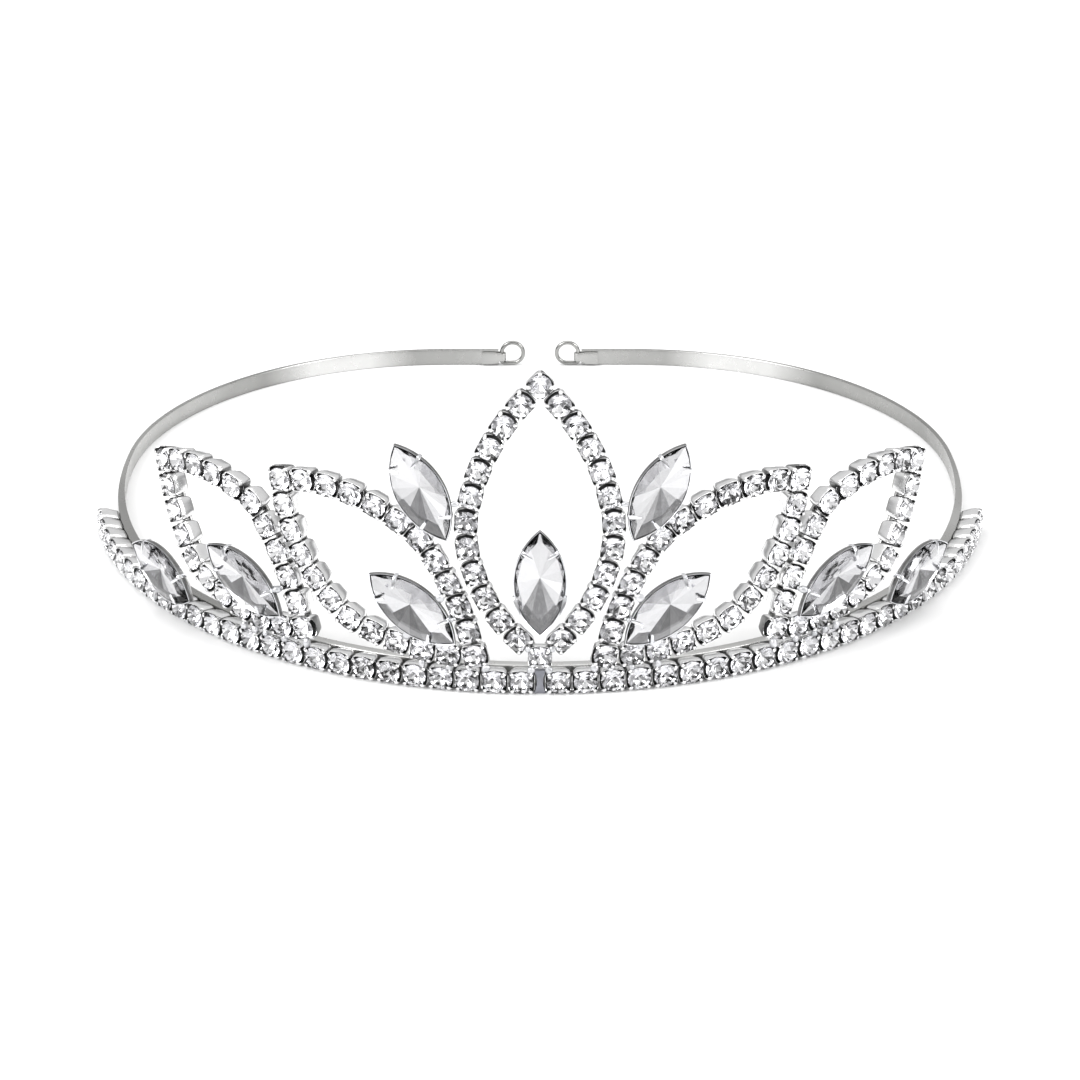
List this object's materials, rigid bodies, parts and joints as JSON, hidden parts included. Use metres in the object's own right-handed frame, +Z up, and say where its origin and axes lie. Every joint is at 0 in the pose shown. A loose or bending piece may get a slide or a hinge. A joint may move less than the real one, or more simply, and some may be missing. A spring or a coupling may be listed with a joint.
{
  "type": "bridal tiara",
  "caption": "Silver-toned bridal tiara: a curved spring headband with end loops carries a row of claw-set round stones, leaf-shaped stone outlines and boat-shaped stones.",
  "frame": {"origin": "middle of the footprint at table level, with the tiara resting on its headband", "axes": "X runs from ear to ear, the decorated front faces -Y and +Z is up, towards the tip of the tall centre leaf"},
  "size_m": [0.1406, 0.1336, 0.0507],
  "materials": {
    "cup_silver": "bright rhodium-toned plating on stamped claw cups",
    "setting_silver": "bright rhodium-toned plating on the boat-shaped settings",
    "link_silver": "duller plated link plate",
    "band_steel": "plated spring strip, smooth with faint drawing lines",
    "wire": "plated round wire",
    "solder": "plated-over soft solder, slightly matt",
    "crystal": "foil-backed cut glass, opaque because of its silver backing",
    "navette_crystal": "foil-backed cut glass boat stone, opaque because of its silver backing"
  },
  "bodies": {
    "tiara_frame": {"apex_cup": "cup_silver", "apex_stone": "crystal", "base_row_cups_left": "cup_silver", "base_row_cups_right": "cup_silver", "base_row_stones_left": "crystal", "base_row_stones_right": "crystal", "centre_petal_cups_left": "cup_silver", "centre_petal_cups_right": "cup_silver", "centre_petal_stones_left": "crystal", "centre_petal_stones_right": "crystal", "foot_cup": "cup_silver", "foot_stone": "crystal", "headband": "band_steel", "inner_petal_lower_cups_left": "cup_silver", "inner_petal_lower_cups_right": "cup_silver", "inner_petal_lower_stones_left": "crystal", "inner_petal_lower_stones_right": "crystal", "inner_petal_upper_cups_left": "cup_silver", "inner_petal_upper_cups_right": "cup_silver", "inner_petal_upper_stones_left": "crystal", "inner_petal_upper_stones_right": "crystal", "navette_setting_centre": "setting_silver", "navette_setting_far_left": "setting_silver", "navette_setting_far_right": "setting_silver", "navette_setting_inner_left": "setting_silver", "navette_setting_inner_right": "setting_silver", "navette_setting_outer_left": "setting_silver", "navette_setting_outer_right": "setting_silver", "navette_setting_upper_left": "setting_silver", "navette_setting_upper_right": "setting_silver", "navette_stone_centre": "navette_crystal", "navette_stone_far_left": "navette_crystal", "navette_stone_far_right": "navette_crystal", "navette_stone_inner_left": "navette_crystal", "navette_stone_inner_right": "navette_crystal", "navette_stone_outer_left": "navette_crystal", "navette_stone_outer_right": "navette_crystal", "navette_stone_upper_left": "navette_crystal", "navette_stone_upper_right": "navette_crystal", "outer_petal_lower_cups_left": "cup_silver", "outer_petal_lower_cups_right": "cup_silver", "outer_petal_lower_stones_left": "crystal", "outer_petal_lower_stones_right": "crystal", "outer_petal_upper_cups_left": "cup_silver", "outer_petal_upper_cups_right": "cup_silver", "outer_petal_upper_stones_left": "crystal", "outer_petal_upper_stones_right": "crystal", "petal_solder_left": "solder", "petal_solder_right": "solder", "row_link_plate": "link_silver", "row_solder_left": "solder", "row_solder_right": "solder"},
    "loop_body_left": {"end_loop_left": "wire"},
    "loop_body_right": {"end_loop_right": "wire"}
  },
  "joints": [
    {"name": "loop_hinge_left", "type": "hinge", "parent": "tiara_frame", "child": "loop_body_left", "pos_m": [-0.0066, 0.06601, 0.0016], "axis": [0, 0, 1], "range_deg": [-100, 100]},
    {"name": "loop_hinge_right", "type": "hinge", "parent": "tiara_frame", "child": "loop_body_right", "pos_m": [0.0066, 0.06601, 0.0016], "axis": [0, 0, 1], "range_deg": [-100, 100]}
  ]
}
